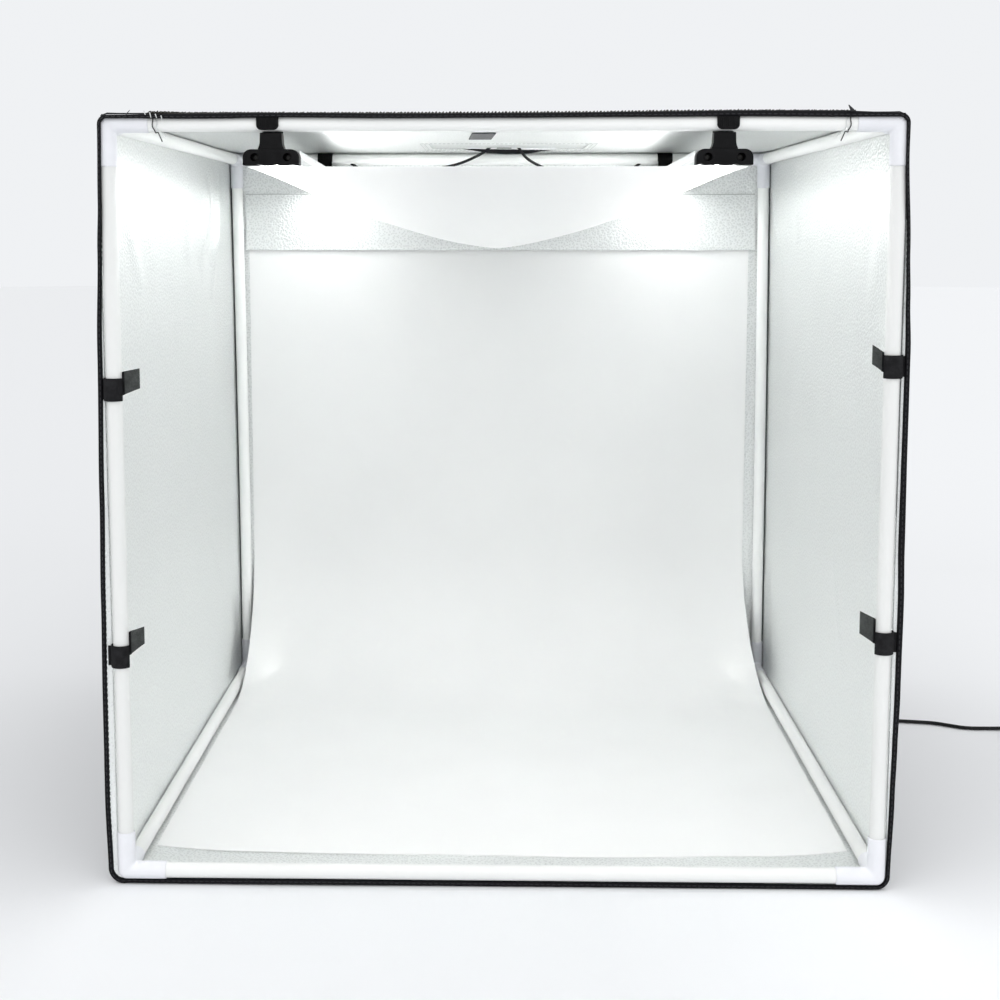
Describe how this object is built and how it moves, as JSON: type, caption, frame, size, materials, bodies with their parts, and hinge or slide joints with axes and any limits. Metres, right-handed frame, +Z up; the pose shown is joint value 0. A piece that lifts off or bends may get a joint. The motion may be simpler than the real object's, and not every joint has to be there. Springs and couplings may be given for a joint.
{
  "type": "light tent cube",
  "caption": "Open-fronted cube of push-fit tubes in a silver-lined fabric cover, with two sliding LED bars, a diffuser cloth, a sweep backdrop, a roof window flap and a corded adapter.",
  "frame": {"origin": "centre of the tent's own plan at the underside of its floor, on the table", "axes": "+Z up, the open front faces -Y, +X to the right seen from the front"},
  "size_m": [0.9048, 0.629, 0.6075],
  "materials": {
    "tube_white": "white plastic tube, satin",
    "connector_white": "white moulded plastic, satin",
    "cover_fabric": "black coated weave, silver inside",
    "binding": "black woven binding tape",
    "hook_tape": "grey hook tape",
    "liner": "silver pebbled reflective film on cloth",
    "diffuser": "thin white translucent cloth",
    "backdrop": "smooth matt white sheet",
    "strap": "black hook-and-loop tape",
    "bar_cap": "black moulded plastic",
    "bar_housing": "satin silver anodised extrusion",
    "led_board": "white board with LEDs",
    "screw": "dark steel",
    "lead": "black flexible lead",
    "adapter": "black textured plastic",
    "pin": "plated pins"
  },
  "bodies": {
    "tent": {"corner_connector_front_bottom_left": "connector_white", "corner_connector_front_top_left": "connector_white", "corner_connector_rear_bottom_left": "connector_white", "corner_connector_rear_top_left": "connector_white", "corner_connector_front_bottom_right": "connector_white", "corner_connector_front_top_right": "connector_white", "corner_connector_rear_bottom_right": "connector_white", "corner_connector_rear_top_right": "connector_white", "post_front_left": "tube_white", "post_front_right": "tube_white", "post_rear_left": "tube_white", "post_rear_right": "tube_white", "depth_rail_bottom_left": "tube_white", "depth_rail_bottom_right": "tube_white", "depth_rail_top_left": "tube_white", "depth_rail_top_right": "tube_white", "width_rail_bottom_front": "tube_white", "width_rail_bottom_rear": "tube_white", "width_rail_top_front": "tube_white", "width_rail_top_rear": "tube_white", "cover_floor": "cover_fabric", "cover_side_left": "cover_fabric", "cover_side_right": "cover_fabric", "cover_back": "cover_fabric", "cover_top": "cover_fabric", "front_edge_binding": "binding", "front_hook_tape": "hook_tape", "ceiling_hook_patch": "hook_tape", "backdrop_hook_tape": "hook_tape", "back_header_flap": "liner", "diffuser_cloth": "diffuser", "backdrop_sheet": "backdrop", "strap_left_low": "strap", "strap_left_high": "strap", "strap_right_low": "strap", "strap_right_high": "strap", "led_lead_left": "lead", "led_lead_right": "lead", "dc_lead": "lead", "dc_lead_coil": "lead", "dc_lead_end": "lead", "adapter_strain_relief": "lead", "lead_splitter": "adapter", "wall_adapter": "adapter", "adapter_pin_1": "pin", "adapter_pin_2": "pin"},
    "led_bar_left": {"led_housing_left": "bar_housing", "led_board_left": "led_board", "led_front_cap_left": "bar_cap", "led_rear_cap_left": "bar_cap", "led_cap_screw_left_1": "screw", "led_cap_screw_left_2": "screw"},
    "led_bar_right": {"led_housing_right": "bar_housing", "led_board_right": "led_board", "led_front_cap_right": "bar_cap", "led_rear_cap_right": "bar_cap", "led_cap_screw_right_1": "screw", "led_cap_screw_right_2": "screw"},
    "roof_flap": {"roof_window_flap": "cover_fabric"}
  },
  "joints": [
    {"name": "led_bar_left_slide", "type": "slide", "parent": "tent", "child": "led_bar_left", "axis": [1, 0, 0], "range_m": [-0.054, 0.12], "deforming": ["led_lead_left"]},
    {"name": "led_bar_right_slide", "type": "slide", "parent": "tent", "child": "led_bar_right", "axis": [1, 0, 0], "range_m": [-0.12, 0.054], "deforming": ["led_lead_right"]},
    {"name": "roof_flap_fold", "type": "hinge", "parent": "tent", "child": "roof_flap", "pos_m": [0.009, 0.099, 0.6011], "axis": [1, 0, 0], "range_deg": [0, 170]}
  ]
}
